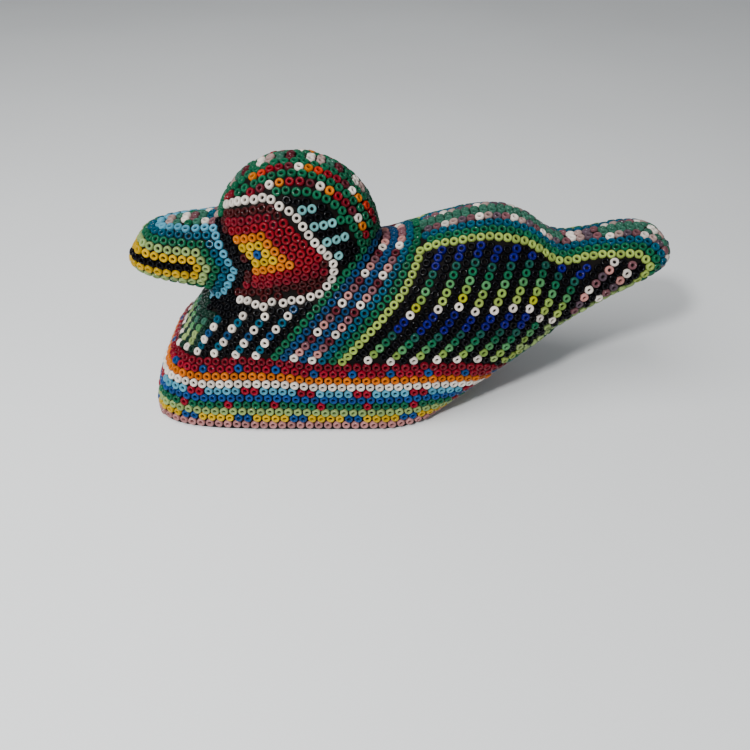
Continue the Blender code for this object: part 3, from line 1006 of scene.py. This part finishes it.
# ---- filling in and easing apart
FILLERS = {
    "nape_left": "black", "face_band_left": "black", "breast": "black", "collar_left": "teal_blue",
    "back_saddle": "dusty_green", "cheek_star_left": "maroon", "bill_field": "dusty_green",
    "cheek_edging_left": "maroon", "wing_upper_left": "black", "wing_lower_left": "black",
    "wing_edging_left": "black", "crown": "green",
}
FILL_FOOT = 1.5  # nothing is filled in below this height
SPRING = 0.03  # share of the way back to its home that a bead goes in a round
PUSH = 0.42  # share of a crowded bead's overlap that it gives way by
FOOT_BEADS = 3.0  # beads with homes below this height
SINK = 0.15  # go down no further than this
ROUNDS = 22
LAST_ROUNDS = 8


def fill(coat, cheek_lines):
    """Fills what the rows leave bare, with the ground colour of the region round it."""
    for place in surface.points[::2]:
        if place.x < 0 or place.z < FILL_FOOT or coat.near(place, BARE * PITCH):
            continue
        region = min(coat.beads, key=lambda bead: (bead[0] - place).length_squared)[2]
        if region in FILLERS:
            past = region == "cheek_edging_left" and any(line.left(place) > 0 for line in cheek_lines)
            coat.add(place, "black" if past else FILLERS[region], region, FILL_REACH)


def relax(coat, rounds):
    """Eases beads that crowd one another apart along the surface."""
    beads = coat.beads
    least = KEEP_APART * PITCH
    homes = [bead[0].copy() for bead in beads]
    for _ in range(rounds):
        tree = KDTree(2 * len(beads))
        for i, bead in enumerate(beads):
            tree.insert(bead[0], i)
            tree.insert(Vector((-bead[0].x, bead[0].y, bead[0].z)), i)
        tree.balance()
        moved = []
        for home, bead in zip(homes, beads):
            place = bead[0]
            push = (home - place) * SPRING
            for other, _, away in tree.find_range(place, least):
                if away > 1e-4:
                    push += (place - other) * (PUSH * (least - away) / away)
            new = surface.snap(place + push)[0]
            new.x = 0.0 if place.x == 0.0 else max(new.x, 0.5 * BEAD_RADIUS)
            if home.z < FOOT_BEADS:
                new.z = max(new.z, home.z - SINK)
            moved.append(new)
        for bead, new in zip(beads, moved):
            bead[0] = new


def thin_out(coat):
    """Leaves out the later one of any two beads that are still too near each other."""
    tree = KDTree(len(coat.beads))
    for i, bead in enumerate(coat.beads):
        tree.insert(bead[0], i)
    tree.balance()
    coat.beads = [bead for i, bead in enumerate(coat.beads)
                  if all(j >= i for _, j, _ in tree.find_range(bead[0], TOO_NEAR * PITCH))]


# ---- materials
COLOURS = {
    "white": (232, 222, 210), "lime": (150, 172, 80), "lime_yellow": (156, 160, 24),
    "lime_green": (124, 154, 70), "pale_lime": (142, 166, 100), "light_green": (76, 136, 84),
    "green": (12, 90, 60), "dark_green": (16, 44, 34), "dusty_green": (50, 98, 80),
    "dim_teal": (16, 72, 62), "teal": (16, 98, 92), "teal_blue": (10, 76, 98), "blue": (12, 66, 124),
    "deep_blue": (10, 58, 98), "sky": (80, 152, 178), "pale_teal": (112, 174, 174),
    "cobalt": (14, 8, 100), "yellow": (200, 160, 0), "amber": (198, 106, 0), "orange": (194, 98, 0),
    "scarlet": (190, 40, 12), "red": (132, 10, 34), "crimson": (126, 10, 26), "dark_red": (108, 10, 28),
    "maroon": (62, 15, 17), "maroon_glass": (84, 26, 36), "rose": (174, 120, 118), "black": (7, 7, 11),
    "pink": (188, 130, 124), "mauve": (114, 74, 80), "dusty_mauve": (84, 68, 78), "dusty": (164, 136, 130),
}


GLASS_TONES = (0.56, 0.86)  # a bead's darkest and lightest tone, of its colour


def linear(value):
    """A channel of 0 to 255 as linear light."""
    value /= 255
    return value / 12.92 if value <= 0.04045 else ((value + 0.055) / 1.055) ** 2.4


def shaded(rgb, factor):
    return tuple(min(linear(c) * factor, 1.0) for c in rgb) + (1.0,)


def new_material(name):
    material = bpy.data.materials.new(name)
    material.use_nodes = True
    nodes = material.node_tree.nodes
    return material, nodes, material.node_tree.links, nodes["Principled BSDF"]


def put(node, **values):
    """Sets a node's inputs."""
    for name, value in values.items():
        node.inputs[name].default_value = value


def ramp_between(nodes, low, high):
    ramp = nodes.new("ShaderNodeValToRGB")
    ramp.color_ramp.elements[0].color = low
    ramp.color_ramp.elements[1].color = high
    return ramp


def glass(name, rgb):
    """Opaque glass whose tone changes a little from bead to bead."""
    material, nodes, links, shader = new_material("glass_" + name)
    tone = nodes.new("ShaderNodeAttribute")
    tone.attribute_name = "tone"
    ramp = ramp_between(nodes, *[shaded(rgb, factor) for factor in GLASS_TONES])
    links.new(tone.outputs["Fac"], ramp.inputs["Fac"])
    links.new(ramp.outputs["Color"], shader.inputs["Base Color"])
    put(shader, Roughness=0.1, IOR=1.17 if name == "black" else 1.24)
    return material


def noisy(name, dark, light, scale, roughness, bump):
    """A surface whose colour and height follow a fine noise."""
    material, nodes, links, shader = new_material(name)
    place = nodes.new("ShaderNodeTexCoord")
    noise = nodes.new("ShaderNodeTexNoise")
    put(noise, Scale=scale, Detail=4.0)
    ramp = ramp_between(nodes, shaded(dark, 1.0), shaded(light, 1.0))
    ramp.color_ramp.elements[0].position = 0.3
    ramp.color_ramp.elements[1].position = 0.7
    links.new(place.outputs["Object"], noise.inputs["Vector"])
    links.new(noise.outputs["Fac"], ramp.inputs["Fac"])
    links.new(ramp.outputs["Color"], shader.inputs["Base Color"])
    put(shader, Roughness=roughness, IOR=1.2)
    if bump:
        height = nodes.new("ShaderNodeBump")
        put(height, Strength=bump, Distance=0.0003)
        links.new(noise.outputs["Fac"], height.inputs["Height"])
        links.new(height.outputs["Normal"], shader.inputs["Normal"])
    return material


# ---- meshes
BEAD_SIDES = 14
PROFILE_SIDES = 8
BEAD_FULLNESS = 2.5
TILT = 0.05  # spread of the beads' tilts
UNEVEN = 0.06  # and of how high they sit, in millimetres
WIDTHS = (0.96, 1.03)  # least and greatest radius, of BEAD_RADIUS
HEIGHTS = (0.88, 1.06)  # and height, of BEAD_HEIGHT
CUT = 0.0002  # the wax ends this far over the table, in metres


def bead_profile():
    """Half section of a bead as (radius, height), from the rim of the hole over the outside and back."""
    middle = (BEAD_RADIUS + BEAD_HOLE) / 2
    thick = (BEAD_RADIUS - BEAD_HOLE) / 2
    return [(middle - thick * corner(math.cos(turn), BEAD_FULLNESS),
             BEAD_HEIGHT / 2 * corner(math.sin(turn), BEAD_FULLNESS)) for turn in turns(PROFILE_SIDES)]


def beads_mesh(name, beads, palette):
    """One mesh for a set of beads, each (place, normal, colour, radius factor, height factor, tone)."""
    profile = bead_profile()
    count = len(profile)
    ring = np.array([(r * math.cos(t), r * math.sin(t), h) for t in turns(BEAD_SIDES) for r, h in profile])
    faces = []
    for i in range(BEAD_SIDES):
        j = (i + 1) % BEAD_SIDES
        for k in range(count):
            m = (k + 1) % count
            faces.append((i * count + k, i * count + m, j * count + m, j * count + k))
    faces = np.array(faces)
    points, polygons, slots, tones = [], [], [], []
    for number, (place, normal, colour, wide, tall, tone) in enumerate(beads):
        axis = np.array(normal)
        first = np.cross(axis, (0.0, 1.0, 0.0) if abs(axis[1]) < 0.9 else (1.0, 0.0, 0.0))
        first /= np.linalg.norm(first)
        second = np.cross(axis, first)
        points.append((np.array(place) + ring[:, :1] * wide * first + ring[:, 1:2] * wide * second
                       + ring[:, 2:] * tall * axis) * MM)
        polygons.append(faces + number * len(ring))
        slots.append(np.full(len(faces), palette.index(colour)))
        tones.append(np.full(len(ring), tone))
    points = np.concatenate(points)
    polygons = np.concatenate(polygons)
    mesh = bpy.data.meshes.new(name)
    mesh.from_pydata(points.tolist(), [], polygons.tolist())
    mesh.polygons.foreach_set("material_index", np.concatenate(slots).astype(np.int32))
    mesh.polygons.foreach_set("use_smooth", np.ones(len(polygons), dtype=bool))
    tone = mesh.attributes.new("tone", "FLOAT", "POINT")
    tone.data.foreach_set("value", np.concatenate(tones).astype(np.float32))
    mesh.update()
    return mesh


def placed(name, mesh, *nodes):
    """A new piece of the duck that stands for nodes of the CAD."""
    obj = added(name, mesh)
    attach(obj, "root")
    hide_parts(*nodes)
    return obj


def both_sides(coat):
    """Every bead of the duck by CAD node, with its own small tilt, size and tone."""
    by_node = {}
    for place, colour, region in coat.beads:
        _, normal = surface.snap(place)
        sides = [1] if place.x == 0.0 else [1, -1]
        for side in sides:
            here = Vector((place.x * side, place.y, place.z))
            tilt = Vector(rng.normal(0.0, TILT, 3).tolist())
            axis = (Vector((normal.x * side, normal.y, normal.z)) + tilt).normalized()
            here += axis * float(rng.normal(0.0, UNEVEN))
            node = region.replace("_left", "_right") if side < 0 else region
            wide = float(rng.uniform(*WIDTHS))
            tall = float(rng.uniform(*HEIGHTS))
            by_node.setdefault(node, []).append((here, axis, colour, wide, tall, float(rng.uniform(0, 1))))
    return by_node


def wax_mesh(body):
    """The wax between the beads: the body drawn in, cut level just over the table."""
    bm = bmesh.new()
    bm.from_mesh(body)
    for vert, normal in [(v, v.normal.copy()) for v in bm.verts]:
        vert.co -= normal * WAX_DEPTH * MM
    cut = bmesh.ops.bisect_plane(bm, geom=bm.verts[:] + bm.edges[:] + bm.faces[:],
                                 plane_co=(0.0, 0.0, CUT), plane_no=(0.0, 0.0, 1.0), clear_inner=True)
    edges = [item for item in cut["geom_cut"] if isinstance(item, bmesh.types.BMEdge)]
    bmesh.ops.holes_fill(bm, edges=edges, sides=0)
    for face in bm.faces:
        face.smooth = True
    mesh = bpy.data.meshes.new("wax")
    bm.to_mesh(mesh)
    bm.free()
    return mesh


coat = Coat()
face_edge = Guide(side_curve(FACE_EDGE))
cheek_back = Guide(side_curve(CHEEK_BACK))
cheek_foot = Guide(side_curve(CHEEK_FOOT))
crown_foot = Guide(side_curve(CROWN_FOOT))
collar_front = Guide(side_curve(COLLAR_FRONT))

above_band = Guide(lay_band(coat))
edge = lay_wing(coat, above_band)
lay_cheek(coat, cheek_back, cheek_foot, face_edge)
collar = lay_collar(coat, above_band)
lay_crown(coat)
lay_bill(coat, face_edge)
lay_nape(coat, cheek_back, crown_foot, collar_front)
lay_saddle(coat, edge)
lay_breast(coat, collar, above_band, cheek_foot)
for rounds in (ROUNDS, LAST_ROUNDS):
    fill(coat, (cheek_back, cheek_foot))
    relax(coat, rounds)
    thin_out(coat)

palette = list(COLOURS)
glasses = [glass(name, COLOURS[name]) for name in palette]
total = 0
for node, beads in both_sides(coat).items():
    used = [name for name in palette if any(bead[2] == name for bead in beads)]
    mesh = beads_mesh("beads_" + node, beads, used)
    for name in used:
        mesh.materials.append(glasses[palette.index(name)])
    placed("beads_" + node, mesh, node)
    total += len(beads)
print("beads", total)

wax = wax_mesh(body)
# The wax is near black: dark wax, made darker still as painted shade in the gaps between the beads.
wax.materials.append(noisy("dark_wax_and_painted_gap_shade", (5, 4, 4), (14, 9, 7), 900.0, 0.8, 0.3))
placed("wax", wax, "wax_skin")
bpy.data.meshes.remove(body)

wood = noisy("pale_wood", (150, 112, 76), (196, 160, 118), 160.0, 0.6, 0.2)
core = bpy.data.objects["wood_core"]
core.data.materials.clear()
core.data.materials.append(wood)

# ---- table, light and camera
TABLE_HALF = 8.0  # metres
table_mesh = bpy.data.meshes.new("table")
table_corners = [(TABLE_HALF * x, TABLE_HALF * y, 0.0) for x, y in ((-1, -1), (1, -1), (1, 1), (-1, 1))]
table_mesh.from_pydata(table_corners, [], [(0, 1, 2, 3)])
table = added("table", table_mesh)
table_mesh.materials.append(noisy("pale_table", (228, 230, 230), (234, 236, 236), 6.0, 0.6, 0.0))

world = bpy.data.worlds.new("room")
bpy.context.scene.world = world
world.use_nodes = True
put(world.node_tree.nodes["Background"], Color=(0.93, 0.96, 1.0, 1.0), Strength=0.30)


def panel(name, place, aim, size, watts):
    light = bpy.data.lights.new(name, "AREA")
    light.shape = "DISK"
    light.size = size
    light.energy = watts
    lamp = added(name, light)
    lamp.location = place
    lamp.rotation_euler = (Vector(aim) - Vector(place)).to_track_quat("-Z", "Y").to_euler()


panel("window", (0.40, -0.30, 0.46), (0.0, 0.0, 0.02), 0.22, 0.9)
panel("lamp", (0.29, -0.15, 0.313), (0.0, 0.0, 0.02), 0.045, 1.65)
panel("room_light", (0.14, -0.22, 0.52), (0.0, 0.0, 0.0), 0.42, 2.1)

camera_data = bpy.data.cameras.new("camera")
camera_data.lens = 34.85
camera_data.sensor_width = 36.0
camera_data.clip_start = 0.01
camera = added("camera", camera_data)
camera.location = (0.152, -0.0053, 0.119)
camera.rotation_euler = (math.radians(52.0), 0.0, math.radians(90.0))
bpy.context.scene.camera = camera
